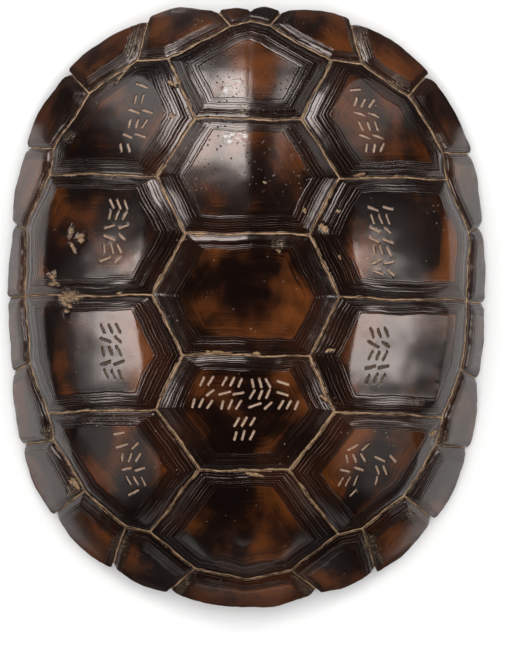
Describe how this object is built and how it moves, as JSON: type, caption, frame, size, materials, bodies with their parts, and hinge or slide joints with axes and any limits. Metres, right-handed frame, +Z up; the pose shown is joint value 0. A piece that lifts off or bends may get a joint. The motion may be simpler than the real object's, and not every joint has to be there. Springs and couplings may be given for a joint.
{
  "type": "inscribed tortoise carapace oracle bone",
  "caption": "Domed tortoise shell with stepped horn scutes, open seams and columns of short cut strokes, hollow underneath.",
  "frame": {"origin": "on the table under the middle of the shell's length and width", "axes": "+Z up through the dome, +Y towards the head end, +X to the right seen from above"},
  "size_m": [0.1758, 0.2208, 0.068],
  "materials": {
    "horn": "polished dark brown horn with amber mottling",
    "bone": "matte tan bone"
  },
  "bodies": {
    "root": {"bone_shell": "bone", "nuchal_scute": "horn", "vertebral_scute_1": "horn", "vertebral_scute_2": "horn", "vertebral_scute_3": "horn", "vertebral_scute_4": "horn", "vertebral_scute_5": "horn", "left_costal_scute_1": "horn", "left_costal_scute_2": "horn", "left_costal_scute_3": "horn", "left_costal_scute_4": "horn", "right_costal_scute_1": "horn", "right_costal_scute_2": "horn", "right_costal_scute_3": "horn", "right_costal_scute_4": "horn", "left_marginal_scute_1": "horn", "left_marginal_scute_2": "horn", "left_marginal_scute_3": "horn", "left_marginal_scute_4": "horn", "left_marginal_scute_5": "horn", "left_marginal_scute_6": "horn", "left_marginal_scute_7": "horn", "left_marginal_scute_8": "horn", "left_marginal_scute_9": "horn", "left_marginal_scute_10": "horn", "right_marginal_scute_1": "horn", "right_marginal_scute_2": "horn", "right_marginal_scute_3": "horn", "right_marginal_scute_4": "horn", "right_marginal_scute_5": "horn", "right_marginal_scute_6": "horn", "right_marginal_scute_7": "horn", "right_marginal_scute_8": "horn", "right_marginal_scute_9": "horn", "right_marginal_scute_10": "horn", "supracaudal_scute": "horn"}
  },
  "joints": []
}
